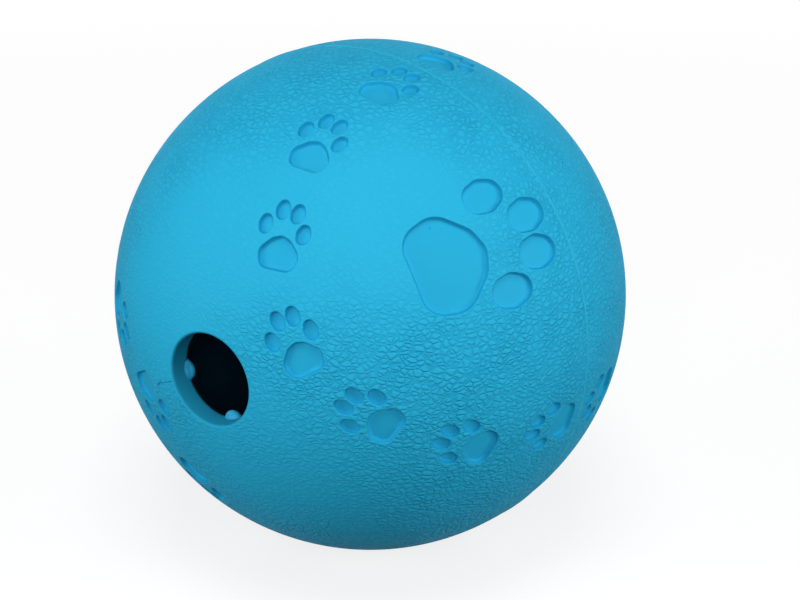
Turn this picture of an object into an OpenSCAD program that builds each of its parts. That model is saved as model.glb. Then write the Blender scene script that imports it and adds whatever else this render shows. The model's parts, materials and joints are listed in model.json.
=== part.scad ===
// Treat dispensing ball of natural rubber: two bonded half shells round a labyrinth, a round mouth with
// four soft retaining teeth, and paw prints sunk in the outside.
// Millimetres. The origin is the ball's centre, +Z is up, and the mouth faces -Y. The halves meet on y = 0.

/* [Ball] */
// Outside diameter of the moulded surface
ball_d = 90; // [70:1:115]
// Wall thickness
wall_t = 4; // [3.4:0.1:5.5]

/* [Mouth] */
// Diameter of the mouth's bore
mouth_d = 16; // [14:0.5:20]
// Radius of the rounded outer lip
lip_r = 0.4; // [0.2:0.05:0.8]

/* [Retaining teeth] */
// Width of a tooth along the mouth's edge
tooth_w = 3.6; // [2.8:0.1:3.8]
// Thickness of a tooth
tooth_t = 1.4; // [1:0.1:1.8]
// How far a tooth's tip stands into the bore
tooth_reach = 1.3; // [1:0.1:2.4]
// How far a tooth bends in or out, in degrees
tooth_swing = 30; // [15:1:35]
// Turn of the first tooth about the mouth's axis, from +X towards +Z, in degrees
tooth_turn = 12; // [0:1:89]

/* [Seam] */
// Thickness of the bond line between the halves
bond_t = 0.5; // [0.3:0.1:1]
// How far the bond line stands proud of the ball
bond_proud = 0.12; // [0.05:0.01:0.3]
// Width of the halves' joint faces
joint_w = 2.4; // [1.6:0.1:3]

/* [Paw prints] */
// Depth of the prints
print_depth = 0.8; // [0.3:0.05:1]
// Width of a small print's heel pad
small_pad_w = 7; // [5:0.1:8]
// Width of the large print's heel pad
large_pad_w = 16.4; // [12:0.1:18]

/* [Labyrinth] */
// Thickness of the partition disc
disc_t = 3; // [2:0.1:4]
// Width of the corridor round each ring, at the disc
corridor_w = 19; // [16:0.5:22]
// Rubber left in the disc on either side of a treat window
window_rim = 2; // [1.5:0.5:3]
// Thickness of the maze rings
ring_t = 3; // [2:0.1:4]
// Width of a doorway in a ring
door_w = 14; // [12:0.5:18]
// Height of a doorway, from the disc to the crown of its arch
door_h = 17; // [15:0.5:22]
// Thickness of the stop walls
stop_t = 3; // [2:0.1:4]

/* [Hidden] */
$fn = 96;

// Colours as the photograph shows them
shell_colour = "#2fb1da";
bond_colour = "#45bfe4";
maze_colour = "#1f86ad";
tooth_colour = "#2a9fc8";

// Radial clearance where a curved end meets a curved wall, and round a tooth's root
seat_gap = 0.1;
// How far every cut runs past the surface it opens
overrun = 1;
// How much wider the bore is in the stretch that carries the teeth
relief = 0.25;
// How far a tooth's root lies behind the bore's wall
tooth_root = 0.35;
// How far a tooth's middle lies outboard of the wall's inner edge
tooth_inset = 0.24;
tooth_count = 4;

ball_r = ball_d / 2;
inner_r = ball_r - wall_t;
mouth_r = mouth_d / 2;
relief_r = mouth_r + relief;

// Heights are measured from the seam towards the mouth
lip_h = sqrt(pow(ball_r - lip_r, 2) - pow(mouth_r + lip_r, 2));
inner_rim_h = sqrt(pow(inner_r, 2) - pow(relief_r, 2));
root_r = mouth_r + tooth_root;
root_h = inner_rim_h + tooth_inset;
knuckle_r = tooth_t / 2;
recess_r = knuckle_r + seat_gap;
// The relieved stretch of bore ends a gap past the place where a bent tooth would reach the wall at its sides
wall_at_side = sqrt(pow(mouth_r, 2) - pow(tooth_w / 2 + seat_gap, 2));
relief_h = root_h + recess_r / cos(tooth_swing) + (root_r - wall_at_side) * tan(tooth_swing) + seat_gap;

seat_r = ball_r - joint_w;
disc_r = seat_r - seat_gap;
ring_r = inner_r - corridor_w;
maze_reach = inner_r - seat_gap;
window_d = corridor_w - 2 * window_rim;
window_place = ring_r + corridor_w / 2;
// Turn of the first stop wall, half-way between a window on X and a doorway on Z
stop_turn = 45;

// A print is drawn on a heel pad one unit wide, with its toes up. Circles are [across, along, radius].
pad_shares = [[0, -0.177, 0.207], [-0.22, -0.47, 0.28], [0.22, -0.47, 0.28]];
// Each toe's middle and its lean in degrees
toe_shares = [[-0.49, 0.245, 4], [-0.165, 0.635, 3], [0.218, 0.6, -3], [0.48, 0.155, -4]];
// The two circles of a toe, its narrow end first
toe_shape_shares = [[0, 0.081, 0.159], [0, -0.068, 0.172]];
// How far out the web between two circles laps them
lap_share = 0.97;

// Small prints on one side of the front half: angle from the mouth's axis, angle about it from +X towards +Z,
// and heading, where 0 walks away from the mouth and 90 walks round it
small_prints = [
    [79.5, 76.5, 3], [57, 78, 7], [36, 69, 22], [23.7, 31, 90], [36.5, -5, 149], [58, -14, 162], [80.5, -13.7, 175]
];
large_print = [67.8, 32.3, -4];

// Turns a child drawn along +Z so that its +Z points out of the mouth
module along_mouth() rotate([90, 0, 0]) children();

// Outward side of the common tangent of circles a and b, for a walk that keeps the shape on its left
function side(a, b) =
    let (
        step = [b[0] - a[0], b[1] - a[1]],
        along = step / norm(step),
        tilt = (a[2] - b[2]) / norm(step)
    ) tilt * along + sqrt(1 - tilt * tilt) * [along[1], -along[0]];

// Rounded convex outline round a loop of circles
module round_outline(loop) {
    last = len(loop) - 1;
    polygon([
        for (i = [0:last])
            let (a = loop[i], b = loop[i == last ? 0 : i + 1], out = side(a, b))
                each [[a[0], a[1]] + lap_share * a[2] * out, [b[0], b[1]] + lap_share * b[2] * out]
    ]);
    for (c = loop) translate([c[0], c[1]]) circle(c[2]);
}

module print_outline(w) {
    round_outline(w * pad_shares);
    for (toe = toe_shares)
        translate([w * toe[0], w * toe[1]]) rotate(toe[2]) round_outline(w * toe_shape_shares);
}

// Prism of one print, standing through the ball's surface
module print_prism(place, w) {
    rotate([0, 0, place[1]]) rotate([0, place[0], 0]) rotate([0, 0, place[2] - 90])
        translate([0, 0, inner_r]) linear_extrude(wall_t + overrun) print_outline(w);
}

// The same place on the other half, with the trail walking on round its loop
function over_seam(place) = [180 - place[0], place[1], -place[2]];

// Everything that the prints take out of one half, on both sides of the ball
module sunk_prints(front) {
    difference() {
        for (turn = [0, 180]) rotate([0, 0, turn]) {
            for (place = small_prints) print_prism(front ? place : over_seam(place), small_pad_w);
            if (front) print_prism(large_print, large_pad_w);
        }
        sphere(ball_r - print_depth);
    }
}

// One half of the hollow ball above the seam, before its prints, with the seat for the disc's rim
module half_ball() {
    difference() {
        intersection() {
            sphere(ball_r);
            translate([0, 0, bond_t / 2]) cylinder(r = ball_r + overrun, h = ball_r + overrun);
        }
        sphere(inner_r);
        cylinder(r = seat_r, h = disc_t / 2);
    }
}

// The bore with its rounded lip, and the relieved stretch that carries the teeth
module mouth_cut() {
    cylinder(r = relief_r, h = relief_h);
    cylinder(r = mouth_r, h = ball_r + overrun);
    rotate_extrude() difference() {
        polygon([
            [0, lip_h], [mouth_r + lip_r, lip_h], [mouth_r + lip_r, lip_h] * ball_r / (ball_r - lip_r),
            [mouth_r + lip_r, ball_r + overrun], [0, ball_r + overrun]
        ]);
        translate([mouth_r + lip_r, lip_h]) circle(lip_r);
    }
}

// Puts a child at a tooth's root: +X away from the bore, +Y along its edge, +Z out of the mouth
module at_tooth(n) {
    rotate([0, 0, tooth_turn + 360 / tooth_count * (n - 1)]) translate([root_r, 0, root_h]) children();
}

// Room for a tooth's root, and for the tooth bent either way
module tooth_recess() {
    room_w = tooth_w + 2 * seat_gap;
    rotate([90, 0, 0]) cylinder(r = recess_r, h = room_w, center = true);
    for (bend = [-tooth_swing, 0, tooth_swing])
        rotate([0, bend, 0]) translate([-tooth_reach - tooth_root, -room_w / 2, -recess_r])
            cube([tooth_reach + tooth_root, room_w, 2 * recess_r]);
}

module front_half_shell() {
    color(shell_colour) along_mouth() difference() {
        half_ball();
        mouth_cut();
        for (n = [1:tooth_count]) at_tooth(n) tooth_recess();
        sunk_prints(true);
    }
}

module rear_half_shell() {
    color(shell_colour) along_mouth() difference() {
        rotate([180, 0, 0]) half_ball();
        sunk_prints(false);
    }
}

module seam_bond() {
    color(bond_colour) along_mouth() difference() {
        cylinder(r = ball_r + bond_proud, h = bond_t, center = true);
        cylinder(r = seat_r, h = bond_t + overrun, center = true);
    }
}

module partition_disc() {
    color(maze_colour) along_mouth() difference() {
        cylinder(r = disc_r, h = disc_t, center = true);
        for (way = [-1, 1])
            translate([way * window_place, 0, 0]) cylinder(d = window_d, h = disc_t + overrun, center = true);
    }
}

// Round wall from the disc to the inside of a half, with a doorway on each side along Z
module maze_ring() {
    difference() {
        intersection() {
            sphere(maze_reach);
            translate([0, 0, disc_t / 2]) cylinder(r = ring_r, h = ball_r);
        }
        cylinder(r = ring_r - ring_t, h = ball_r);
        translate([-door_w / 2, -ball_r, 0]) cube([door_w, ball_d, disc_t / 2 + door_h - door_w / 2]);
        translate([0, 0, disc_t / 2 + door_h - door_w / 2])
            rotate([90, 0, 0]) cylinder(d = door_w, h = ball_d, center = true);
    }
}

// Flat wall across the corridor between the ring and the shell, and the second one opposite the first
module stop_wall(n) {
    difference() {
        intersection() {
            sphere(maze_reach);
            rotate([0, 0, stop_turn + 180 * (n - 1)])
                translate([0, -stop_t / 2, disc_t / 2]) cube([ball_r, stop_t, ball_r]);
        }
        cylinder(r = ring_r + seat_gap, h = ball_r);
    }
}

module front_maze_ring() color(maze_colour) along_mouth() maze_ring();
module rear_maze_ring() color(maze_colour) along_mouth() rotate([180, 0, 0]) maze_ring();
module front_stop_wall(n) color(maze_colour) along_mouth() stop_wall(n);
module rear_stop_wall(n) color(maze_colour) along_mouth() rotate([180, 0, 0]) stop_wall(n);

// Half-moon tooth with a round root, on which it bends
module retaining_tooth(n) {
    tip = tooth_reach + tooth_root;
    neck = tip - tooth_w / 2;
    color(tooth_colour) along_mouth() at_tooth(n) {
        rotate([90, 0, 0]) cylinder(r = knuckle_r, h = tooth_w, center = true);
        translate([0, 0, -tooth_t / 2]) linear_extrude(tooth_t) {
            if (neck > 0) translate([-neck, -tooth_w / 2]) square([neck, tooth_w]);
            intersection() {
                translate([-neck, 0]) circle(d = tooth_w);
                translate([-tip - overrun, -tooth_w]) square([tip + overrun - max(neck, 0), 2 * tooth_w]);
            }
        }
    }
}

front_half_shell();
rear_half_shell();
seam_bond();
partition_disc();
front_maze_ring();
rear_maze_ring();
front_stop_wall(1);  // front_stop_wall_1
front_stop_wall(2);  // front_stop_wall_2
rear_stop_wall(1);  // rear_stop_wall_1
rear_stop_wall(2);  // rear_stop_wall_2
retaining_tooth(1);  // retaining_tooth_1
retaining_tooth(2);  // retaining_tooth_2
retaining_tooth(3);  // retaining_tooth_3
retaining_tooth(4);  // retaining_tooth_4
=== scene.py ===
# Treat dispensing ball: two bonded halves of moulded rubber with sunk paw prints, a round mouth with four
# soft teeth, the seam between the halves and the labyrinth inside. Metres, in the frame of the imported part.
import json
import math

import bmesh
import bpy
import numpy as np
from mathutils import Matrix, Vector
from mathutils.geometry import delaunay_2d_cdt


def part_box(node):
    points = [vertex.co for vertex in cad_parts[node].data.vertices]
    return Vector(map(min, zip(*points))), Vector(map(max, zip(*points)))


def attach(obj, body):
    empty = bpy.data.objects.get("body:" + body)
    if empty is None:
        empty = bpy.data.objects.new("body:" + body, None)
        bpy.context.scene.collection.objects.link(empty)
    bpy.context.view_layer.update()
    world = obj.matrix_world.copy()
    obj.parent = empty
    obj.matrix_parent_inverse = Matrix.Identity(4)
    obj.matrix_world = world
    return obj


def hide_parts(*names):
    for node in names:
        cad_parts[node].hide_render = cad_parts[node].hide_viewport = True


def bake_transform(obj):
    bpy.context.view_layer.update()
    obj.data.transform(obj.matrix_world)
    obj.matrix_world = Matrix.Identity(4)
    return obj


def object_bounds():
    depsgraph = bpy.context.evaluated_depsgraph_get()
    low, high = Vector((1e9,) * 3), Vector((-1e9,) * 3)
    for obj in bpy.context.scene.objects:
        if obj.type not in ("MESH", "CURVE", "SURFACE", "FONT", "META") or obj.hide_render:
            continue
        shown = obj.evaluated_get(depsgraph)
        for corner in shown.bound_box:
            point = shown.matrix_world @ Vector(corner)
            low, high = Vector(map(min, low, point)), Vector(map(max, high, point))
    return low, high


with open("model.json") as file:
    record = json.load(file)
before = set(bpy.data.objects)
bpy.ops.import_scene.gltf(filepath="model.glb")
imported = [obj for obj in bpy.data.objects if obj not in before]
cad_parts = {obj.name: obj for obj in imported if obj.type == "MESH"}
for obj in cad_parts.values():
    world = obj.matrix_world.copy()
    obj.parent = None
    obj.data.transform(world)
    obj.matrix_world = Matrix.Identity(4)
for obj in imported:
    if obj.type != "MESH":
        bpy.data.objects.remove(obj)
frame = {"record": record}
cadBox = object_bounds()
mm = 0.001

ball = {
    "radius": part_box("front_half_shell")[1].x,
    "wall": 4 * mm,
    "jointHeight": 0.25 * mm,      # half the bond line
    "jointEdge": 0.06 * mm,        # rounding of the outer edge at the joint
    "seatRadius": 42.6 * mm,       # the disc's rim sits in here
    "seatHeight": 1.5 * mm,
    "segments": 288,
    "frontRows": 40,               # rows of faces on the inner wall of each half
    "rearRows": 45,
    "jointRows": 5,
    "poleAngle": 89,               # where the rear half's rows end and its cap starts, in degrees
}
mouth = {
    "radius": frame["record"]["mounts"][0]["dims"]["r_mm"] * mm,
    "lip": 0.4 * mm,               # rounding of the outer edge
    "innerEdge": 0.5 * mm,
    "lipRows": 8,
    "wallRows": 6,
    "innerEdgeRows": 7,
}
prints = {
    "depth": 0.8 * mm,
    "edgeOut": 0.12 * mm,          # where the rounded edge starts, outside the outline
    "edgeIn": 0.32 * mm,           # where the floor starts, inside the outline
    "dish": 1.4,                   # how soon the wall eases into the floor: 1 is a straight slope
    "rimRounding": 0.35 * mm,
    "rings": 10,                   # outlines down the wall, closer together at its rim
    "ringCrowding": 1.5,
    "border": 0.36 * mm,           # how far the patch of a print goes past its outline
    "weldDistance": 0.002 * mm,
    "smallPad": 7 * mm,
    "largePad": 16.4 * mm,
    "largeFrom": 10 * mm,          # wider pads than this have the coarser outlines
    "smallSpacing": 0.3 * mm,      # between the points of an outline
    "largeSpacing": 0.45 * mm,
    "directions": 48,              # that a small outline's corners are sought in
    "floorSpacing": 2,             # between the points on a floor, against the outline's
    "borderGap": 0.6,              # what they leave free at the border and at the walls, in their own spacing
    "wallGap": 0.4,
    # The heel pad is the hull of these circles: across, up and radius, as shares of its width
    "padShares": [
        (0, -0.177, 0.207), (-0.09, -0.248, 0.243), (-0.225, -0.427, 0.268), (-0.215, -0.52, 0.255),
        (0.215, -0.52, 0.255), (0.225, -0.427, 0.268), (0.09, -0.248, 0.243)
    ],
    # Each toe's place and lean, and the circles whose hull a toe is
    "toeShares": [(-0.49, 0.245, 4), (-0.165, 0.635, 3), (0.218, 0.6, -3), (0.48, 0.155, -4)],
    "toeShapeShares": [(0, 0.095, 0.145), (0, 0.008, 0.178), (0, -0.08, 0.16)],
    # Small prints on one side of the front half: angle from the mouth's axis, angle round it and heading
    "trail": [
        (79.5, 76.5, 3), (57, 78, 7), (36, 69, 22), (23.7, 31, 90), (36.5, -5, 149), (58, -14, 162),
        (80.5, -13.7, 175)
    ],
    "largePlace": (67.8, 32.3, -4),
}
rowShare = 0.87  # rows of even triangles lie this share of their sides apart
# Where the outer skin ends, as angles from the mouth's axis
jointAngle = math.acos((ball["jointHeight"] + ball["jointEdge"]) / ball["radius"])
mouthAngle = math.asin((mouth["radius"] + mouth["lip"]) / (ball["radius"] - mouth["lip"]))


def hexColour(text):
    channels = [int(text[i:i + 2], 16) / 255 for i in (1, 3, 5)]
    return (*[c / 12.92 if c <= 0.04045 else ((c + 0.055) / 1.055) ** 2.4 for c in channels], 1)


def addNode(tree, kind, inputs=None, **settings):
    node = tree.nodes.new(kind)
    for name, value in settings.items():
        setattr(node, name, value)
    for name, value in (inputs or {}).items():
        if isinstance(value, bpy.types.NodeSocket):
            tree.links.new(value, node.inputs[name])
        else:
            node.inputs[name].default_value = value
    return node


def newObject(name, mesh):
    made = bpy.data.objects.new(name, mesh)
    bpy.context.scene.collection.objects.link(made)
    return made


def makeTree(name, sockets):
    tree = bpy.data.node_groups.new(name, "GeometryNodeTree")
    for label, kind in sockets:
        tree.interface.new_socket(name=label, in_out="INPUT", socket_type="NodeSocket" + kind)
    tree.interface.new_socket(name="Geometry", in_out="OUTPUT", socket_type="NodeSocketGeometry")
    return tree, addNode(tree, "NodeGroupInput").outputs


def leaveMesh(piece, modifier):
    # Leaves a modifier's result as the piece's plain mesh
    depsgraph = bpy.context.evaluated_depsgraph_get()
    mesh = bpy.data.meshes.new_from_object(piece.evaluated_get(depsgraph), depsgraph=depsgraph)
    piece.modifiers.remove(modifier)
    piece.data = mesh
    mesh.name = piece.name


def runTree(piece, tree, values):
    modifier = piece.modifiers.new(tree.name, "NODES")
    modifier.node_group = tree
    for item in tree.interface.items_tree:
        if item.in_out == "INPUT" and item.name in values:
            modifier[item.identifier] = values[item.name]
    leaveMesh(piece, modifier)


def moveAlong(tree, made, direction, distance, chosen=True):
    direction = addNode(tree, "ShaderNodeVectorMath", {0: direction}, operation="NORMALIZE").outputs[0]
    offset = addNode(tree, "ShaderNodeVectorMath", {
        0: direction, "Scale": distance}, operation="SCALE").outputs[0]
    return addNode(tree, "GeometryNodeSetPosition", {
        "Geometry": made, "Selection": chosen, "Offset": offset}).outputs[0]


def endTree(tree, made, material):
    # Turns the mouth from +z to -y and leaves plain smooth faces of one material
    made = addNode(tree, "GeometryNodeTransform", {
        "Geometry": made, "Rotation": (math.pi / 2, 0, 0)}).outputs[0]
    made = addNode(tree, "GeometryNodeSetShadeSmooth", {"Geometry": made}).outputs[0]
    made = addNode(tree, "GeometryNodeRealizeInstances", {"Geometry": made}).outputs[0]
    made = addNode(tree, "GeometryNodeSetMaterial", {"Geometry": made, "Material": material}).outputs[0]
    addNode(tree, "NodeGroupOutput", {"Geometry": made})


def printShapes(padWidth):
    # The circles of the pad and of each toe, in the print's own plane with the toes up
    shapes = [np.array(prints["padShares"])]
    for x, y, lean in prints["toeShares"]:
        turn = math.radians(lean)
        shapes.append(np.array([
            (x - v * math.sin(turn), y + v * math.cos(turn), r) for _, v, r in prints["toeShapeShares"]
        ]))
    return [padWidth * s for s in shapes]


def directions(count):
    angles = np.arange(count) * 2 * math.pi / count
    return np.stack([np.cos(angles), np.sin(angles)], 1)


def outline(circles, grow, step, count):
    # Points round the hull of some circles, grown outwards
    normals = directions(count)
    best = np.argmax(normals @ circles[:, :2].T + circles[:, 2], 1)
    corners = circles[best, :2] + (circles[best, 2:] + grow) * normals
    points = []
    for here, after in zip(corners, np.roll(corners, -1, 0)):
        parts = max(1, round(np.linalg.norm(after - here) / step))
        points += [here + (after - here) * k / parts for k in range(parts)]
    return np.array(points)


def edgeDistance(points, circles):
    # Exact distance of points from the hull's outline, negative inside: the largest of the distances past
    # the hull's supporting lines, which are its sides and the tangents of its circles
    middles, radii = circles[:, :2], circles[:, 2]
    first, second = [i.ravel() for i in np.meshgrid(range(len(circles)), range(len(circles)))]
    length = np.linalg.norm(middles[second] - middles[first], axis=1)
    real = length > abs(radii[first] - radii[second])
    first, second, length = first[real], second[real], length[real, None]
    along = (middles[second] - middles[first]) / length
    tilt = (radii[first] - radii[second])[:, None] / length
    sides = tilt * along + np.sqrt(1 - tilt ** 2) * np.stack([along[:, 1], -along[:, 0]], 1)
    found = (points @ sides.T - (sides @ middles.T + radii).max(1)).max(1)
    almostNothing = 1e-12  # keeps a point on a circle's middle from being divided by zero
    for middle in middles:
        away = points - middle
        away /= np.linalg.norm(away, axis=1, keepdims=True) + almostNothing
        found = np.maximum(found, (points * away).sum(1) - (away @ middles.T + radii).max(1))
    return found


def ringIndices(rings):
    # The numbers that the points of some rings have when the rings follow each other
    starts = np.cumsum([0] + [len(ring) for ring in rings])
    return [np.arange(first, last) for first, last in zip(starts, starts[1:])]


def triangulate(points, rings):
    # Delaunay triangles of flat points, with rings of edges kept
    tolerance = 1e-9
    edges = [(int(a), int(b)) for ring in rings for a, b in zip(ring, np.roll(ring, -1))]
    verts, _, faces, *_ = delaunay_2d_cdt([Vector(p) for p in points], edges, [], 0, tolerance)
    return np.array([tuple(v) for v in verts]), np.array([f for f in faces if len(f) == 3])


def setAttribute(mesh, name, values):
    attribute = mesh.attributes.new(name, "FLOAT", "POINT")
    attribute.data.foreach_set("value", np.asarray(values, np.float32))


def outlineDetail(padWidth):
    # How far apart a print's outline has its points, and how many directions its corners are sought in
    spacing = prints["smallSpacing"] if padWidth < prints["largeFrom"] else prints["largeSpacing"]
    return spacing, int(prints["directions"] * math.sqrt(padWidth / prints["smallPad"]))


def printPatch(name, padWidth):
    # A print as a patch of the ball's surface about z; nodes sink it by its distance from the outline
    step, count = outlineDetail(padWidth)
    shapes = printShapes(padWidth)
    whole = np.concatenate(shapes)
    rings = [
        outline(shape, prints["edgeOut"] - share * (prints["edgeOut"] + prints["edgeIn"]), step, count)
        for share in np.linspace(0, 1, prints["rings"]) ** prints["ringCrowding"] for shape in shapes
    ]
    rings.append(outline(whole, prints["border"], step, 2 * count))
    spacing = prints["floorSpacing"] * step
    reach = np.abs(rings[-1]).max() + spacing
    grid = np.array([
        (x + spacing / 2 * (row % 2), y)
        for row, y in enumerate(np.arange(-reach, reach, spacing * rowShare))
        for x in np.arange(-reach, reach, spacing)
    ])
    edge = np.min([edgeDistance(grid, s) for s in shapes], 0)
    inside = edgeDistance(grid, whole) < prints["border"] - prints["borderGap"] * spacing
    wallGap = prints["wallGap"] * spacing
    free = (edge < -prints["edgeIn"] - wallGap) | (edge > prints["edgeOut"] + wallGap)
    flat, faces = triangulate(np.concatenate([*rings, grid[inside & free]]), ringIndices(rings))
    # Slivers on the border's straight sides would leave it open
    sliverArea, nearBorder = 1e-5 * mm ** 2, 0.01 * mm
    a, b, c = np.moveaxis(flat[faces], 1, 0)
    area = abs(np.cross(b - a, c - a)) / 2
    onBorder = edgeDistance((a + b + c) / 3, whole) > prints["border"] - nearBorder
    faces = faces[~(onBorder & (area < sliverArea))]
    edge = np.min([edgeDistance(flat, s) for s in shapes], 0)
    height = np.sqrt(ball["radius"] ** 2 - (flat ** 2).sum(1))
    mesh = bpy.data.meshes.new(name)
    mesh.from_pydata(np.column_stack([flat, height]).tolist(), [], faces.tolist())
    setAttribute(mesh, "edge", np.clip(edge, -mm, mm))
    return newObject(name, mesh)


def placeMatrix(place):
    # Turns the z axis to a print's place: round z by its heading, down by its polar angle, round z again
    polar, around, heading = [math.radians(v) for v in place]
    heading -= math.pi / 2

    def turnZ(a):
        return np.array([[math.cos(a), -math.sin(a), 0], [math.sin(a), math.cos(a), 0], [0, 0, 1]])

    tilt = np.array([
        [math.cos(polar), 0, math.sin(polar)], [0, 1, 0], [-math.sin(polar), 0, math.cos(polar)]
    ])
    return turnZ(around) @ tilt @ turnZ(heading)


def placesOf(front):
    # Every print of one half: polar angle, angle round, heading, pad width
    places = []
    for turn in (0, 180):
        for polar, around, heading in prints["trail"]:
            if not front:
                polar, heading = 180 - polar, -heading
            places.append((polar, around + turn, heading, prints["smallPad"]))
        if front:
            polar, around, heading = prints["largePlace"]
            places.append((polar, around + turn, heading, prints["largePad"]))
    return places


def insideLoops(points, loops):
    # Whether each flat point lies in one of the closed loops
    found = np.zeros(len(points), bool)
    for loop in loops:
        x0, y0 = loop.T
        x1, y1 = np.roll(loop, -1, 0).T
        near = np.flatnonzero(((points > loop.min(0)) & (points < loop.max(0))).all(1))
        px, py = points[near, 0][:, None], points[near, 1][:, None]
        crossing = (y0 > py) != (y1 > py)
        with np.errstate(divide="ignore", invalid="ignore"):
            left = px < (x1 - x0) * (py - y0) / (y1 - y0) + x0
        found[near[(crossing & left).sum(1) % 2 == 1]] = True
    return found


def ringPoints(radius, height, count):
    return np.column_stack([radius * directions(count), np.full(count, height)])


def skinRing(angle):
    # Points round the ball's surface at an angle from the mouth's axis
    return ringPoints(ball["radius"] * math.sin(angle), ball["radius"] * math.cos(angle), ball["segments"])


# How the outer skin between the prints is filled with points
filling = {
    "spacing": 1.05 * mm,
    "mouthSpacing": 0.25 * mm,
    "growth": 0.12,                # of the spacing from row to row away from the mouth
    "gap": 0.55,                   # what is left free round the rings, as a share of the spacing
    "jointGap": 0.6,
    "fewest": 6,                   # points in a row
    "haloReach": 0.55 * mm,        # a looser ring of points lies this far outside each print's border
    "haloSpread": 1.6,             # its spacing against the border's
    "block": 400,                  # how many points are compared at once
}


def skin(front):
    # The outer surface of one half about +z, with a hole for each print and, in front, for the mouth.
    # It is triangulated in stereographic projection, which keeps angles.
    radius = ball["radius"]

    def flatten(points):
        unit = points / radius
        return unit[:, :2] / (1 + unit[:, 2:])

    rings, halos = [skinRing(jointAngle)], []
    if front:
        rings.append(skinRing(mouthAngle))
    for *place, padWidth in placesOf(front):
        turn = placeMatrix(place)
        if not front:
            turn = np.diag([1, 1, -1]) @ turn
        step, count = outlineDetail(padWidth)
        whole = np.concatenate(printShapes(padWidth))
        border = outline(whole, prints["border"], step, 2 * count)
        halo = outline(whole, prints["border"] + filling["haloReach"], step * filling["haloSpread"], count)
        for flat, found in ((border, rings), (halo, halos)):
            height = np.sqrt(radius ** 2 - (flat ** 2).sum(1))
            found.append(np.column_stack([flat, height]) @ turn.T)
    holes = [flatten(ring) for ring in rings[1:]]
    # Rows of filling points, closer near the mouth
    startAngle, startSpacing = (mouthAngle, filling["mouthSpacing"]) if front else (0, filling["spacing"])
    fill = [] if front else [np.array([[0, 0, radius]])]
    angle, spacing, row = startAngle, startSpacing, 0
    while True:
        angle += spacing * rowShare / radius
        if angle > jointAngle - filling["jointGap"] * spacing / radius:
            break
        count = max(filling["fewest"], round(2 * math.pi * radius * math.sin(angle) / spacing))
        angles = np.arange(count) * 2 * math.pi / count + (row % 2) * math.pi / count
        across = math.sin(angle)
        fill.append(radius * np.stack([
            across * np.cos(angles), across * np.sin(angles), np.full(count, math.cos(angle))
        ], 1))
        spacing = min(spacing * (1 + filling["growth"]), filling["spacing"])
        row += 1
    fill = np.concatenate(fill)
    others = np.concatenate(rings + halos)
    near = np.min([
        np.linalg.norm(fill[:, None] - others[None, k:k + filling["block"]], axis=2).min(1)
        for k in range(0, len(others), filling["block"])
    ], 0)
    local = startSpacing + filling["growth"] * (np.arccos(fill[:, 2] / radius) - startAngle) * radius
    local = np.minimum(local, filling["spacing"])
    fill = fill[(near > filling["gap"] * local) & ~insideLoops(flatten(fill), holes)]
    flat, faces = triangulate(flatten(np.concatenate([others, fill])), ringIndices(rings))
    faces = faces[~insideLoops(flat[faces].mean(1), holes)]
    square = (flat ** 2).sum(1)
    points = radius * np.column_stack([2 * flat / (1 + square)[:, None], (1 - square) / (1 + square)])
    return points, faces


def arc(centre, radius, first, last, parts):
    # Points of an arc in the plane of radius and height, its ends included
    angles = np.radians(np.linspace(first, last, parts + 1))
    return [(centre[0] + radius * math.cos(a), centre[1] + radius * math.sin(a)) for a in angles]


def innerProfile(front):
    # Section of a half's inside from the outer skin's rim through to its edge at the joint: radius and height
    outer, inner = ball["radius"], ball["radius"] - ball["wall"]
    line = []
    seatAngle = math.degrees(math.asin(ball["seatHeight"] / inner))
    if front:
        lip, bore, edge = mouth["lip"], mouth["radius"], mouth["innerEdge"]
        lipHeight = math.sqrt((outer - lip) ** 2 - (bore + lip) ** 2)
        lipAngle = math.degrees(math.atan2(lipHeight, bore + lip))
        line += arc((bore + lip, lipHeight), lip, lipAngle, 180, mouth["lipRows"])[1:]
        edgeHeight = math.sqrt((inner + edge) ** 2 - (bore + edge) ** 2)
        edgeAngle = math.degrees(math.atan2(edgeHeight, bore + edge))
        rows = mouth["wallRows"]
        line += [(bore, lipHeight + (edgeHeight - lipHeight) * k / rows) for k in range(1, rows)]
        line += arc((bore + edge, edgeHeight), edge, 180, 180 + edgeAngle, mouth["innerEdgeRows"])
        line += arc((0, 0), inner, edgeAngle, seatAngle, ball["frontRows"])[1:]
    else:
        line += arc((0, 0), inner, ball["poleAngle"], seatAngle, ball["rearRows"])
    line.append((ball["seatRadius"], ball["seatHeight"]))
    line.append((ball["seatRadius"], ball["jointHeight"]))
    edge = ball["jointEdge"]
    edgeHeight = ball["jointHeight"] + edge
    middle = (math.sqrt((outer - edge) ** 2 - edgeHeight ** 2), edgeHeight)
    line += arc(middle, edge, 270, 360, ball["jointRows"])
    return line


def halfBase(name, front):
    # One half as a mesh about +z, complete but for the patches of its prints
    points, faces = skin(front)
    count = ball["segments"]
    bm = bmesh.new()
    verts = [bm.verts.new(p) for p in points]
    for face in faces:
        bm.faces.new([verts[i] for i in face])

    def onSkin(ring):
        return [verts[((points - p) ** 2).sum(1).argmin()] for p in ring]

    rows = [[bm.verts.new(p) for p in ringPoints(r, h, count)] for r, h in innerProfile(front)[:-1]]
    rows.append(onSkin(skinRing(jointAngle)))
    if front:
        rows.insert(0, onSkin(skinRing(mouthAngle)))
    bridgeRows(bm, rows)
    if not front:
        pole = bm.verts.new((0, 0, ball["radius"] - ball["wall"]))
        for k in range(count):
            bm.faces.new([rows[0][k], rows[0][(k + 1) % count], pole])
        for v in bm.verts:
            v.co.z = -v.co.z
    mesh = bpy.data.meshes.new(name)
    bm.to_mesh(mesh)
    bm.free()
    # The most that a patch can say: outside a print on the skin, inside one on the inner wall
    edge = np.full(len(mesh.vertices), -mm)
    edge[:len(points)] = mm
    setAttribute(mesh, "edge", edge)
    return newObject(name, mesh)


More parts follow.
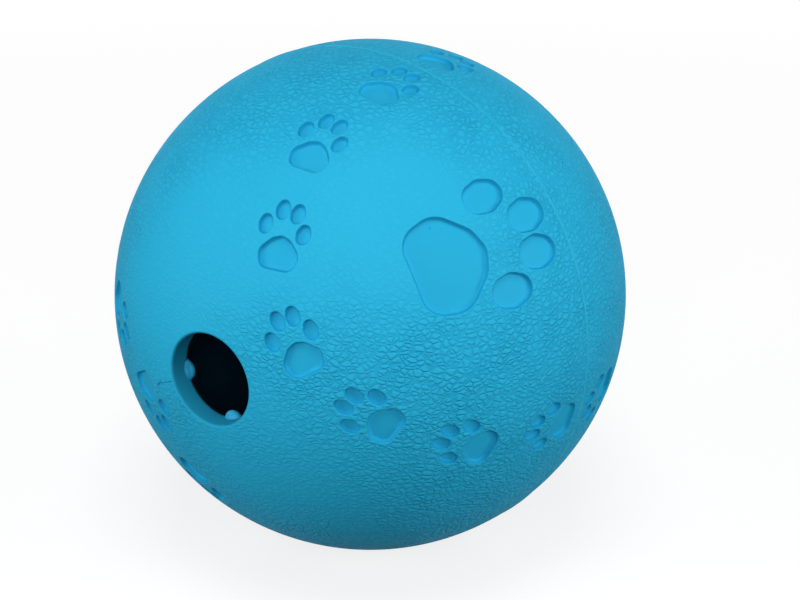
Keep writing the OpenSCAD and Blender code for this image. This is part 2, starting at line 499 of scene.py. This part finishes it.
def placePoints(name, places):
    mesh = bpy.data.meshes.new(name)
    mesh.from_pydata([(0, 0, 0)] * len(places), [], [])
    polar, around, heading, padWidth = np.array(places).T
    setAttribute(mesh, "polar", np.radians(polar))
    setAttribute(mesh, "around", np.radians(around))
    setAttribute(mesh, "heading", np.radians(heading) - math.pi / 2)
    setAttribute(mesh, "padWidth", padWidth)
    return newObject(name, mesh)


def printTree():
    # Sets print patches into a half, sinks them and welds their borders
    tree, given = makeTree("sunkPrints", [
        ("Half", "Geometry"), ("Places", "Object"), ("Small print", "Object"), ("Large print", "Object"),
        ("Print depth", "Float"), ("Edge in", "Float"), ("Dish", "Float"), ("Rim rounding", "Float"),
        ("Weld distance", "Float"), ("Rubber", "Material")
    ])

    def stored(name):
        return addNode(
            tree, "GeometryNodeInputNamedAttribute", {"Name": name}, data_type="FLOAT").outputs["Attribute"]

    turns = []
    for angles in ({"Y": stored("polar"), "Z": stored("around")}, {"Z": stored("heading")}):
        angles = addNode(tree, "ShaderNodeCombineXYZ", angles).outputs[0]
        turns.append(addNode(tree, "FunctionNodeEulerToRotation", {"Euler": angles}).outputs[0])
    turned = addNode(tree, "FunctionNodeRotateRotation", {
        "Rotation": turns[0], "Rotate By": turns[1]}, rotation_space="LOCAL").outputs[0]
    places = addNode(tree, "GeometryNodeObjectInfo", {"Object": given["Places"]}).outputs["Geometry"]
    isLarge = addNode(tree, "FunctionNodeCompare", {
        "A": stored("padWidth"), "B": prints["largeFrom"]}, operation="GREATER_THAN").outputs[0]
    isSmall = addNode(tree, "FunctionNodeBooleanMath", {0: isLarge}, operation="NOT").outputs[0]
    join = addNode(tree, "GeometryNodeJoinGeometry")
    for label, chosen in (("Small print", isSmall), ("Large print", isLarge)):
        patch = addNode(tree, "GeometryNodeObjectInfo", {"Object": given[label]}).outputs["Geometry"]
        row = addNode(tree, "GeometryNodeInstanceOnPoints", {
            "Points": places, "Selection": chosen, "Instance": patch, "Rotation": turned}).outputs[0]
        row = addNode(tree, "GeometryNodeRealizeInstances", {"Geometry": row}).outputs[0]
        # 0 at the foot of the wall, 1 at its rim; the wall falls steeply and eases into the floor
        foot = addNode(tree, "ShaderNodeMath", {
            0: given["Edge in"], 1: -1.0}, operation="MULTIPLY").outputs[0]
        sink = addNode(tree, "ShaderNodeMapRange", {
            "Value": stored("edge"), "From Min": foot, "From Max": 0.0}, clamp=False).outputs["Result"]
        for operation, value in (
            ("MAXIMUM", 0.0), ("POWER", given["Dish"]), ("SUBTRACT", 1.0), ("MULTIPLY", given["Print depth"])
        ):
            sink = addNode(tree, "ShaderNodeMath", {0: sink, 1: value}, operation=operation).outputs[0]
        sink = addNode(tree, "ShaderNodeMath", {
            0: sink, 1: 0.0, 2: given["Rim rounding"]}, operation="SMOOTH_MIN").outputs[0]
        place = addNode(tree, "GeometryNodeInputPosition").outputs[0]
        tree.links.new(moveAlong(tree, row, place, sink), join.inputs[0])
    tree.links.new(given["Half"], join.inputs[0])
    whole = addNode(tree, "GeometryNodeMergeByDistance", {
        "Geometry": join.outputs[0], "Distance": given["Weld distance"]}).outputs[0]
    endTree(tree, whole, given["Rubber"])
    return tree


def bridgeRows(bm, rows):
    # Faces between closed rows of as many vertices each
    for upper, lower in zip(rows, rows[1:]):
        for k in range(len(upper)):
            after = (k + 1) % len(upper)
            bm.faces.new([upper[k], upper[after], lower[after], lower[k]])


def outwardNormals(piece):
    sharpAngle = math.radians(50)
    bm = bmesh.new()
    bm.from_mesh(piece.data)
    bmesh.ops.recalc_face_normals(bm, faces=bm.faces)
    openEdges = sum(not e.is_manifold for e in bm.edges)
    bm.to_mesh(piece.data)
    bm.free()
    piece.data.set_sharp_from_angle(angle=sharpAngle)
    print(piece.name, len(piece.data.polygons), "faces,", openEdges, "open edges")


def buildHalves(rubber):
    small = printPatch("smallPrint", prints["smallPad"])
    large = printPatch("largePrint", prints["largePad"])
    tree = printTree()
    for name, front in (("front_half_shell", True), ("rear_half_shell", False)):
        half = halfBase("moulded_" + name, front)
        places = placePoints(name + "Places", placesOf(front))
        runTree(half, tree, {
            "Places": places, "Small print": small, "Large print": large, "Print depth": prints["depth"],
            "Edge in": prints["edgeIn"], "Dish": prints["dish"], "Rim rounding": prints["rimRounding"],
            "Weld distance": prints["weldDistance"], "Rubber": rubber
        })
        half.data.materials.pop(index=0)  # the empty slot that joining leaves
        outwardNormals(half)
        bpy.data.objects.remove(places)
        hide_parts(name)
        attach(half, "ball")
    for patch in (small, large):
        bpy.data.objects.remove(patch)


# The cured line between the halves: a flat band with a rounded outer face that stands a little proud
seam = {
    "innerRadius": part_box("partition_disc")[1].x + 0.1 * mm,  # just clear of the disc's rim
    "outerRadius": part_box("seam_bond")[1].x,
    "height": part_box("seam_bond")[1].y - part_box("seam_bond")[0].y,
    "rounding": 0.2 * mm,
    "ripple": 0.05 * mm,           # how far the brushed-on cement wanders in and out
    "rippleLength": 6 * mm,
    "segments": 720,
    "cornerSegments": 4,
}


def seamTree():
    tree, given = makeTree("bondLine", [
        ("Geometry", "Geometry"), ("Middle radius", "Float"), ("Width", "Float"), ("Height", "Float"),
        ("Rounding", "Float"), ("Ripple", "Float"), ("Ripples per metre", "Float"), ("Segments", "Int"),
        ("Corner segments", "Int"), ("Bond", "Material")
    ])
    path = addNode(tree, "GeometryNodeCurvePrimitiveCircle", {
        "Resolution": given["Segments"], "Radius": given["Middle radius"]}).outputs["Curve"]
    section = addNode(tree, "GeometryNodeCurvePrimitiveQuadrilateral", {
        "Width": given["Width"], "Height": given["Height"]}).outputs[0]
    section = addNode(tree, "GeometryNodeFilletCurve", {
        "Curve": section, "Radius": given["Rounding"], "Count": given["Corner segments"],
        "Limit Radius": True}, mode="POLY").outputs[0]
    band = addNode(tree, "GeometryNodeCurveToMesh", {"Curve": path, "Profile Curve": section}).outputs[0]
    place = addNode(tree, "GeometryNodeInputPosition").outputs[0]
    flat = addNode(tree, "ShaderNodeVectorMath", {0: place, 1: (1, 1, 0)}, operation="MULTIPLY").outputs[0]
    reach = addNode(tree, "ShaderNodeVectorMath", {0: flat}, operation="LENGTH").outputs["Value"]
    outer = addNode(tree, "FunctionNodeCompare", {
        "A": reach, "B": given["Middle radius"]}, operation="GREATER_THAN").outputs[0]
    noise = addNode(tree, "ShaderNodeTexNoise", {
        "Vector": place, "Scale": given["Ripples per metre"], "Detail": 2.0}).outputs["Fac"]
    move = addNode(tree, "ShaderNodeMath", {0: noise, 1: -1.0}).outputs[0]
    move = addNode(tree, "ShaderNodeMath", {0: move, 1: given["Ripple"]}, operation="MULTIPLY").outputs[0]
    endTree(tree, moveAlong(tree, band, flat, move, outer), given["Bond"])
    return tree


def buildSeam(bond):
    line = newObject("cured_bond_line", bpy.data.meshes.new("cured_bond_line"))
    runTree(line, seamTree(), {
        "Middle radius": (seam["innerRadius"] + seam["outerRadius"]) / 2,
        "Width": seam["outerRadius"] - seam["innerRadius"], "Height": seam["height"],
        "Rounding": seam["rounding"], "Ripple": seam["ripple"], "Ripples per metre": 1 / seam["rippleLength"],
        "Segments": seam["segments"], "Corner segments": seam["cornerSegments"], "Bond": bond
    })
    outwardNormals(line)
    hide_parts("seam_bond")
    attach(line, "ball")


# The teeth at the inner end of the mouth: half moons moulded in one with the wall, each on its own root
teeth = {
    "width": 3.6 * mm,
    "reach": 1.3 * mm,             # how far a tip stands into the bore
    "tipThickness": 1 * mm,
    "rootThickness": 1.4 * mm,
    "tipRounding": 0.6 * mm,
    "fillet": 0.3 * mm,            # how much wider the tooth is where it leaves the wall
    "filletLength": 0.6 * mm,
    "rootLength": 2 * mm,          # how far the root runs on into the wall
    "squareness": 2.6,             # 2 gives an oval section
    "rows": 44,
    "columns": 40,
    "rigidRadius": 8.35 * mm,      # out here the real tooth is held by the wall
    "freeRadius": 7.4 * mm,        # and from here in the real tooth is free to bend
}


def toothMesh(rootRadius):
    # +X points away from the bore, +Y along its edge and +Z out of the mouth; the hinge is on Y
    half = teeth["width"] / 2
    tip = mouth["radius"] - teeth["reach"] - rootRadius
    wall = mouth["radius"] - rootRadius
    middle = tip + half
    share = (1 - np.cos(np.linspace(0, math.pi, teeth["rows"]))) / 2
    rows = []
    for x in tip + share[1:] * (teeth["rootLength"] - tip):
        width = half * math.sqrt(1 - (min(x - middle, 0) / half) ** 2)
        along = min(max((x - tip) / (wall - tip), 0), 1)
        thick = (teeth["tipThickness"] + (teeth["rootThickness"] - teeth["tipThickness"]) * along) / 2
        thick *= math.sqrt(1 - (1 - min((x - tip) / teeth["tipRounding"], 1)) ** 2)
        rise = min(max((x - wall + teeth["filletLength"]) / teeth["filletLength"], 0), 1)
        flare = teeth["fillet"] * (1 - math.sqrt(1 - rise ** 2))
        row = []
        for k in range(teeth["columns"]):
            a = 2 * math.pi * k / teeth["columns"]
            y, z = [math.copysign(abs(v) ** (2 / teeth["squareness"]), v) for v in (math.cos(a), math.sin(a))]
            row.append((x, y * (width + flare), z * (thick + (flare if z > 0 else 0))))
        rows.append(row)
    bm = bmesh.new()
    rows = [[bm.verts.new(p) for p in row] for row in rows]
    bridgeRows(bm, rows)
    end = bm.verts.new((tip, 0, 0))
    for k in range(len(rows[0])):
        bm.faces.new([rows[0][(k + 1) % len(rows[0])], rows[0][k], end])
    bm.faces.new(rows[-1])
    mesh = bpy.data.meshes.new("tooth")
    bm.to_mesh(mesh)
    bm.free()
    return mesh


def toothTree():
    # Sets one tooth at its place round the mouth
    tree, given = makeTree("toothRoundMouth", [
        ("Tooth", "Geometry"), ("Root radius", "Float"), ("Root height", "Float"), ("Turn", "Float"),
        ("Rubber", "Material")
    ])
    out = addNode(tree, "ShaderNodeCombineXYZ", {
        "X": given["Root radius"], "Z": given["Root height"]}).outputs[0]
    turn = addNode(tree, "ShaderNodeCombineXYZ", {"Z": given["Turn"]}).outputs[0]
    tooth = addNode(tree, "GeometryNodeTransform", {"Geometry": given["Tooth"], "Translation": out}).outputs[0]
    tooth = addNode(tree, "GeometryNodeTransform", {"Geometry": tooth, "Rotation": turn}).outputs[0]
    endTree(tree, tooth, given["Rubber"])
    return tree


def buildTeeth(rubber):
    tree = toothTree()
    joints = {joint["child"]: joint for joint in frame["record"]["behaviour"]["joints"]}
    for number in range(1, 5):
        hinge = joints[f"tooth_{number}"]
        x, y, z = hinge["pos_m"]
        turn = math.atan2(z, x)
        rootRadius = math.hypot(x, z)
        tooth = newObject(f"soft_tooth_{number}", toothMesh(rootRadius))
        runTree(tooth, tree, {"Root radius": rootRadius, "Root height": -y, "Turn": turn, "Rubber": rubber})
        outwardNormals(tooth)
        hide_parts(f"retaining_tooth_{number}")
        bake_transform(tooth)


# The labyrinth inside: the same solids as in the part, with their moulded edges rounded
labyrinth = {
    "nodes": [
        "partition_disc", "front_maze_ring", "rear_maze_ring", "front_stop_wall_1", "front_stop_wall_2",
        "rear_stop_wall_1", "rear_stop_wall_2"
    ],
    "edgeRadius": 0.4 * mm,
    "segments": 3,
    "edgeAngle": 40,               # edges sharper than this are rounded
    "flatAngle": 0.5,              # and faces closer than this are joined first
    "weldDistance": 0.001 * mm,
}


def buildLabyrinth(rubber):
    for node in labyrinth["nodes"]:
        mesh = bpy.data.objects[node].data.copy()
        mesh.materials.clear()
        bm = bmesh.new()
        bm.from_mesh(mesh)
        bmesh.ops.remove_doubles(bm, verts=bm.verts, dist=labyrinth["weldDistance"])
        flatAngle = math.radians(labyrinth["flatAngle"])
        bmesh.ops.dissolve_limit(bm, angle_limit=flatAngle, verts=bm.verts, edges=bm.edges)
        bm.to_mesh(mesh)
        bm.free()
        piece = newObject("moulded_" + node, mesh)
        bevel = piece.modifiers.new("roundedEdges", "BEVEL")
        bevel.width = labyrinth["edgeRadius"]
        bevel.segments = labyrinth["segments"]
        bevel.limit_method = "ANGLE"
        bevel.angle_limit = math.radians(labyrinth["edgeAngle"])
        leaveMesh(piece, bevel)
        piece.data.materials.append(rubber)
        piece.data.shade_smooth()
        outwardNormals(piece)
        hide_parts(node)
        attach(piece, "ball")


# Moulded natural rubber, coloured through: matt, with hardly a sheen. The mould's etched wall leaves a grain
# of small wide pebbles with narrow valleys. It is faint where the mould is worn and stops at the prints'
# smooth floors.
shellLook = {
    "colour": "#2ab4de",
    # The colour of the painted shade in the grain's valleys, on the walls and floors of the prints and in the
    # witness lines
    "paintedShadeColour": "#108dbe",
    "valleyShade": 0.4,            # shares of that colour: in the valleys
    "wallShade": 0.65,             # on the walls of the prints
    "floorShade": 0.2,
    "wallShadeFrom": 0.3,          # where it is full on a wall, as a share of the way to the floor
    "floorShadeFrom": 0.1 * mm,    # where it starts outside the outline
    "paintedInsideShade": "#042336",     # painted shade: the hollow is coloured as dark as it looks
    "insideFrom": 42 * mm,         # distance from the ball's middle where it starts
    "insideTo": 41.1 * mm,         # and where it is full
    "throatShare": 0.35,           # of that colour on the mouth's wall
    "throatRim": 0.1 * mm,         # full this far from it
    "speckColour": "#0b6f97",
    "speckShare": 0.8,
    "speckSpacing": 7 * mm,
    "speckInner": 0.016,           # a speck fades between these shares of their spacing
    "speckOuter": 0.03,
    "pebble": 1.25 * mm,
    "squash": 1.45,                # the pebbles are wider than high
    "valleyShare": 0.27,           # how far a valley's slope reaches into a pebble
    "grainDepth": 0.15 * mm,
    "grainFrom": -0.05 * mm,       # the grain sets in between these distances from a print's outline
    "grainTo": 0.3 * mm,
    "leastGrain": 0.6,             # it is a little weaker here and there
    "grainPatch": 7 * mm,
    "fineLength": 0.35 * mm,       # a finer unevenness all over
    "fineShare": 0.1,              # of the pebbles' height
    "warp": 0.55 * mm,
    "warpLength": 1.8 * mm,
    "skinRoughness": 0.6,
    "floorRoughness": 0.55,
    "specularLevel": 0.055,
    # Worn places of the mould: angle from the mouth's axis, angle round it and what is left of the grain
    "worn": [(20, 134, 0.2), (30, 96, 0.2), (40.5, 67, 0.2), (56, 49, 0.2), (22, -58, 0.45)],
    "wornInner": 7.5 * mm,
    "wornOuter": 23 * mm,
    # Witness lines of the mould beside the mouth: the ends of each, as the same two angles
    "witness": [((10.9, -163), (17.1, -160)), ((15.4, -162.8), (17.7, -157.6))],
    "witnessWidth": 0.16 * mm,
}


def onBall(polar, around):
    polar, around = math.radians(polar), math.radians(around)
    return ball["radius"] * Vector((
        math.sin(polar) * math.cos(around), -math.cos(polar), math.sin(polar) * math.sin(around)))


def newRubber(name, specularLevel):
    material = bpy.data.materials.new(name)
    material.use_nodes = True
    tree = material.node_tree
    shader = tree.nodes["Principled BSDF"]
    shader.inputs["Specular IOR Level"].default_value = specularLevel
    return material, tree, shader, addNode(tree, "ShaderNodeTexCoord").outputs["Object"]


def mouldedRubber():
    look = shellLook
    material, tree, shader, place = newRubber("mouldedNaturalRubber", look["specularLevel"])

    # Pebbles: cells of a warped pattern, domed, with rounded valleys
    wander = addNode(tree, "ShaderNodeTexNoise", {
        "Vector": place, "Scale": 1 / look["warpLength"], "Detail": 3.0, "Roughness": 0.6}).outputs["Color"]
    wander = addNode(tree, "ShaderNodeVectorMath", {
        0: wander, 1: (0.5, 0.5, 0.5)}, operation="SUBTRACT").outputs[0]
    warped = addNode(tree, "ShaderNodeVectorMath", {
        0: wander, 1: (2 * look["warp"],) * 3, 2: place}, operation="MULTIPLY_ADD").outputs[0]
    warped = addNode(tree, "ShaderNodeVectorMath", {
        0: warped, 1: (1, 1, look["squash"])}, operation="MULTIPLY").outputs[0]
    cells = addNode(tree, "ShaderNodeTexVoronoi", {
        "Vector": warped, "Scale": 1 / look["pebble"]}, feature="DISTANCE_TO_EDGE").outputs["Distance"]
    pebbles = addNode(tree, "ShaderNodeMapRange", {
        "Value": cells, "From Max": look["valleyShare"]}, interpolation_type="SMOOTHSTEP").outputs["Result"]
    # The halves' meshes hold the distance from a print's outline, positive outside it
    edge = addNode(tree, "ShaderNodeAttribute", attribute_name="edge").outputs["Fac"]
    onSkin = addNode(tree, "ShaderNodeMapRange", {
        "Value": edge, "From Min": look["grainFrom"], "From Max": look["grainTo"]},
        interpolation_type="SMOOTHSTEP").outputs["Result"]
    strength = addNode(tree, "ShaderNodeTexNoise", {
        "Vector": place, "Scale": 1 / look["grainPatch"], "Detail": 1.0}).outputs["Fac"]
    strength = addNode(tree, "ShaderNodeMapRange", {  # from 0.3 to 0.7, which noise hardly leaves
        "Value": strength, "From Min": 0.3, "From Max": 0.7, "To Min": look["leastGrain"]}).outputs["Result"]
    worn = 1.0
    for *spot, left in look["worn"]:
        away = addNode(tree, "ShaderNodeVectorMath", {
            0: place, 1: onBall(*spot)}, operation="DISTANCE").outputs["Value"]
        kept = addNode(tree, "ShaderNodeMapRange", {
            "Value": away, "From Min": look["wornInner"], "From Max": look["wornOuter"],
            "To Min": left}, interpolation_type="SMOOTHSTEP").outputs["Result"]
        worn = addNode(tree, "ShaderNodeMath", {0: kept, 1: worn}, operation="MINIMUM").outputs[0]
    for share in (onSkin, worn):
        strength = addNode(tree, "ShaderNodeMath", {0: strength, 1: share}, operation="MULTIPLY").outputs[0]
    height = addNode(tree, "ShaderNodeMath", {0: pebbles, 1: strength}, operation="MULTIPLY").outputs[0]
    fine = addNode(tree, "ShaderNodeTexNoise", {
        "Vector": place, "Scale": 1 / look["fineLength"], "Detail": 2.0}).outputs["Fac"]
    fine = addNode(tree, "ShaderNodeMath", {0: fine, 1: look["fineShare"]}, operation="MULTIPLY").outputs[0]
    height = addNode(tree, "ShaderNodeMath", {0: height, 1: fine}, operation="ADD").outputs[0]

    # The witness lines, as the distance from the nearest point of each
    witness = 0.0
    for ends in look["witness"]:
        first, last = [onBall(*end) for end in ends]
        line = last - first
        offset = addNode(tree, "ShaderNodeVectorMath", {0: place, 1: first}, operation="SUBTRACT").outputs[0]
        share = addNode(tree, "ShaderNodeVectorMath", {0: offset, 1: line / line.length_squared},
                        operation="DOT_PRODUCT").outputs["Value"]
        share = addNode(tree, "ShaderNodeClamp", {"Value": share}).outputs[0]
        nearest = addNode(tree, "ShaderNodeVectorMath", {
            0: line, "Scale": share}, operation="SCALE").outputs[0]
        gap = addNode(tree, "ShaderNodeVectorMath", {
            0: offset, 1: nearest}, operation="DISTANCE").outputs["Value"]
        groove = addNode(tree, "ShaderNodeMapRange", {
            "Value": gap, "From Max": look["witnessWidth"], "To Min": 1.0, "To Max": 0.0},
            interpolation_type="SMOOTHSTEP").outputs["Result"]
        witness = addNode(tree, "ShaderNodeMath", {0: groove, 1: witness}, operation="MAXIMUM").outputs[0]
    height = addNode(tree, "ShaderNodeMath", {0: height, 1: witness}, operation="SUBTRACT").outputs[0]
    bump = addNode(tree, "ShaderNodeBump", {"Height": height, "Distance": look["grainDepth"]}).outputs[0]
    tree.links.new(bump, shader.inputs["Normal"])

    # Painted shade in the valleys, where the bump alone casts none; a few specks of pigment show
    depth = addNode(tree, "ShaderNodeMath", {0: 1.0, 1: pebbles}, operation="SUBTRACT").outputs[0]
    for share in (strength, look["valleyShade"]):
        depth = addNode(tree, "ShaderNodeMath", {0: depth, 1: share}, operation="MULTIPLY").outputs[0]
    # Painted shade on the walls of the prints and a little on their floors, standing in for the shadows in
    # them; the witness lines get it too
    onFloor = addNode(tree, "ShaderNodeMapRange", {
        "Value": edge, "From Min": look["floorShadeFrom"], "From Max": -prints["edgeIn"],
        "To Max": look["floorShade"]}).outputs["Result"]
    onWall = addNode(tree, "ShaderNodeMapRange", {
        "Value": edge, "From Min": -prints["edgeIn"], "From Max": -look["wallShadeFrom"] * prints["edgeIn"],
        "To Max": look["wallShade"]}).outputs["Result"]
    outside = addNode(tree, "ShaderNodeMapRange", {
        "Value": edge, "From Max": prints["edgeOut"], "To Min": 1.0, "To Max": 0.0}).outputs["Result"]
    onWall = addNode(tree, "ShaderNodeMath", {0: onWall, 1: outside}, operation="MULTIPLY").outputs[0]
    for shade in (witness, onFloor, onWall):
        depth = addNode(tree, "ShaderNodeMath", {0: depth, 1: shade}, operation="MAXIMUM").outputs[0]
    specks = addNode(tree, "ShaderNodeTexVoronoi", {
        "Vector": place, "Scale": 1 / look["speckSpacing"]}).outputs["Distance"]
    speck = addNode(tree, "ShaderNodeMapRange", {
        "Value": specks, "From Min": look["speckInner"], "From Max": look["speckOuter"],
        "To Min": look["speckShare"], "To Max": 0.0}).outputs["Result"]
    # Painted shade on the throat, by its distance from the mouth's axis, which counts in the front half only,
    # and on the inner wall, by its distance from the middle
    across = addNode(tree, "ShaderNodeVectorMath", {0: place, 1: (-1, 0, -1)}, operation="MAXIMUM").outputs[0]
    across = addNode(tree, "ShaderNodeVectorMath", {0: across}, operation="LENGTH").outputs["Value"]
    throat = addNode(tree, "ShaderNodeMapRange", {
        "Value": across, "From Min": mouth["radius"] + mouth["lip"],
        "From Max": mouth["radius"] + look["throatRim"], "To Max": look["throatShare"]}).outputs["Result"]
    reach = addNode(tree, "ShaderNodeVectorMath", {0: place}, operation="LENGTH").outputs["Value"]
    inside = addNode(tree, "ShaderNodeMapRange", {
        "Value": reach, "From Min": look["insideFrom"], "From Max": look["insideTo"]}).outputs["Result"]
    inside = addNode(tree, "ShaderNodeMath", {0: throat, 1: inside}, operation="MAXIMUM").outputs[0]
    colour = hexColour(look["colour"])
    for share, name in ((depth, "paintedShadeColour"), (speck, "speckColour"), (inside, "paintedInsideShade")):
        colour = addNode(tree, "ShaderNodeMix", {
            "Factor": share, 6: colour, 7: hexColour(look[name])}, data_type="RGBA").outputs[2]
    tree.links.new(colour, shader.inputs["Base Color"])
    rough = addNode(tree, "ShaderNodeMapRange", {
        "Value": onSkin, "To Min": look["floorRoughness"], "To Max": look["skinRoughness"]}).outputs["Result"]
    tree.links.new(rough, shader.inputs["Roughness"])
    return material


# The smooth rubbers: no grain, only a faint unevenness in colour and surface
smoothLooks = {
    # Rubber cement, brushed on and cured: a thin, slightly glossier line with soft brush waves
    "curedRubberCement": {
        "colour": "#2fb4da", "patchColour": "#29aed3", "patch": 3 * mm, "roughness": 0.5,
        "bumpDepth": 0.03 * mm, "bumpLength": 0.6 * mm, "specularLevel": 0.08
    },
    # Natural rubber moulded on a polished core: smooth, with more sheen than the rest
    "smoothToothRubber": {
        "colour": "#2cabd6", "patchColour": "#219bc6", "patch": 1.5 * mm, "roughness": 0.5,
        "bumpDepth": 0.02 * mm, "bumpLength": 0.4 * mm, "specularLevel": 0.2
    },
    # The same rubber on the walls inside, with painted shade: coloured as dark as the closed ball's hollow
    # looks
    "smoothInnerRubber": {
        "colour": "#052738", "patchColour": "#04202f", "patch": 6 * mm, "roughness": 0.55,
        "bumpDepth": 0.03 * mm, "bumpLength": 0.8 * mm, "specularLevel": 0.1
    },
}


def smoothRubber(name):
    look = smoothLooks[name]
    material, tree, shader, place = newRubber(name, look["specularLevel"])
    shader.inputs["Roughness"].default_value = look["roughness"]
    patches = addNode(tree, "ShaderNodeTexNoise", {
        "Vector": place, "Scale": 1 / look["patch"], "Detail": 3.0}).outputs["Fac"]
    patches = addNode(tree, "ShaderNodeMapRange", {
        "Value": patches, "From Min": 0.35, "From Max": 0.65}).outputs["Result"]
    colour = addNode(tree, "ShaderNodeMix", {
        "Factor": patches, 6: hexColour(look["colour"]), 7: hexColour(look["patchColour"])},
        data_type="RGBA").outputs[2]
    tree.links.new(colour, shader.inputs["Base Color"])
    waves = addNode(tree, "ShaderNodeTexNoise", {
        "Vector": place, "Scale": 1 / look["bumpLength"], "Detail": 2.0}).outputs["Fac"]
    bump = addNode(tree, "ShaderNodeBump", {"Height": waves, "Distance": look["bumpDepth"]}).outputs[0]
    tree.links.new(bump, shader.inputs["Normal"])
    return material


# Fitted to the ball's outline and to the circles of the mouth and the seam
view = {
    "imageWidth": 800,
    "focalPixels": 2364,
    "sensorWidth": 36,
    "azimuth": 35.747,             # degrees to the right of the mouth
    "elevation": 23.023,
    "place": (229.459 * mm, -309.850 * mm, 162.738 * mm),
    "clip": (0.01, 20),
}


def makeCamera():
    data = bpy.data.cameras.new("camera")
    data.sensor_width = view["sensorWidth"]
    data.lens = view["focalPixels"] / view["imageWidth"] * view["sensorWidth"]
    data.clip_start, data.clip_end = view["clip"]
    camera = newObject("camera", data)
    azimuth, elevation = math.radians(view["azimuth"]), math.radians(view["elevation"])
    back = Vector((
        math.sin(azimuth) * math.cos(elevation), -math.cos(azimuth) * math.cos(elevation), math.sin(elevation)))
    camera.location = view["place"]
    camera.rotation_euler = back.to_track_quat("Z", "Y").to_euler()
    bpy.context.scene.camera = camera
    return camera


# Five softboxes, above the camera, at it, far to its left and right and behind the ball, and a weak dome
studio = {
    # Turn and lift from the camera's line, power and size
    "lamps": [
        ("topSoftbox", 0, 50, 4.5, 0.5), ("frontSoftbox", 0, 0, 4.4, 0.5), ("leftSoftbox", -70, 0, 4.9, 0.5),
        ("rightSoftbox", 70, 2, 4.8, 0.5), ("rearSoftbox", 180, 32, 4.5, 0.25)
    ],
    "distance": 1,
    "dome": 0.025,
    "floorReach": 4,
    # The floor's own glow near the ball and far off, and where it changes
    "nearGlow": 0.78,
    "farGlow": 0.97,
    "glowFrom": 0.2,
    "glowTo": 0.9,
    "floorShade": 0.27,            # how much of the lamps' pool and the shadow shows on it
    "floorBounce": 0.04,
}


def seenRay(tree):
    # 1 for what the camera sees, straight, in a gloss or through something clear
    path = addNode(tree, "ShaderNodeLightPath").outputs
    seen = addNode(tree, "ShaderNodeMath", {
        0: path["Is Camera Ray"], 1: path["Is Glossy Ray"]}, operation="MAXIMUM").outputs[0]
    return addNode(tree, "ShaderNodeMath", {
        0: seen, 1: path["Is Transmission Ray"]}, operation="MAXIMUM").outputs[0]


def makeStudio(camera):
    lowest, reach = cadBox[0].z, studio["floorReach"]
    corners = [(x * reach, y * reach, lowest) for x, y in ((-1, -1), (1, -1), (1, 1), (-1, 1))]
    mesh = bpy.data.meshes.new("floor")
    mesh.from_pydata(corners, [], [(0, 1, 2, 3)])
    floor = newObject("floor", mesh)
    # Seen, the floor is white paper with the ball's shadow; what it throws back on the ball is less
    material = bpy.data.materials.new("whitePaper")
    material.use_nodes = True
    tree = material.node_tree
    tree.nodes.clear()
    seen = seenRay(tree)
    shade = addNode(tree, "ShaderNodeMapRange", {
        "Value": seen, "To Min": studio["floorBounce"], "To Max": studio["floorShade"]}).outputs["Result"]
    diffuse = addNode(tree, "ShaderNodeBsdfDiffuse", {"Color": shade}).outputs[0]
    place = addNode(tree, "ShaderNodeTexCoord").outputs["Object"]
    away = addNode(tree, "ShaderNodeVectorMath", {0: place}, operation="LENGTH").outputs["Value"]
    glow = addNode(tree, "ShaderNodeMapRange", {
        "Value": away, "From Min": studio["glowFrom"], "From Max": studio["glowTo"],
        "To Min": studio["nearGlow"], "To Max": studio["farGlow"]},
        interpolation_type="SMOOTHSTEP").outputs["Result"]
    glow = addNode(tree, "ShaderNodeMath", {0: seen, 1: glow}, operation="MULTIPLY").outputs[0]
    glow = addNode(tree, "ShaderNodeEmission", {"Strength": glow}).outputs[0]
    both = addNode(tree, "ShaderNodeAddShader", {0: diffuse, 1: glow}).outputs[0]
    addNode(tree, "ShaderNodeOutputMaterial", {"Surface": both})
    mesh.materials.append(material)

    world = bpy.data.worlds.new("studio")
    bpy.context.scene.world = world
    world.use_nodes = True
    tree = world.node_tree
    tree.nodes.clear()
    strength = addNode(tree, "ShaderNodeMapRange", {
        "Value": seenRay(tree), "To Min": studio["dome"], "To Max": 1.0}).outputs["Result"]
    light = addNode(tree, "ShaderNodeBackground", {"Color": (1, 1, 1, 1), "Strength": strength}).outputs[0]
    addNode(tree, "ShaderNodeOutputWorld", {"Surface": light})

    for name, turn, lift, power, size in studio["lamps"]:
        turn, lift = math.radians(turn), math.radians(lift)
        ray = Vector((math.sin(turn) * math.cos(lift), math.sin(lift), math.cos(turn) * math.cos(lift)))
        ray.rotate(camera.rotation_euler)
        data = bpy.data.lights.new(name, "AREA")
        data.size = size
        data.energy = power
        lamp = newObject(name, data)
        lamp.location = ray * studio["distance"]
        lamp.rotation_euler = ray.to_track_quat("Z", "Y").to_euler()
        # The one behind would only glare along the ball's upper edge
        lamp.visible_glossy = abs(turn) < math.pi / 2


makeStudio(makeCamera())
print("camera, lamps and floor made")
buildHalves(mouldedRubber())
print("halves made")
buildSeam(smoothRubber("curedRubberCement"))
buildTeeth(smoothRubber("smoothToothRubber"))
buildLabyrinth(smoothRubber("smoothInnerRubber"))
print("seam, teeth and labyrinth made")

bpy.context.scene.view_settings.view_transform = "Standard"
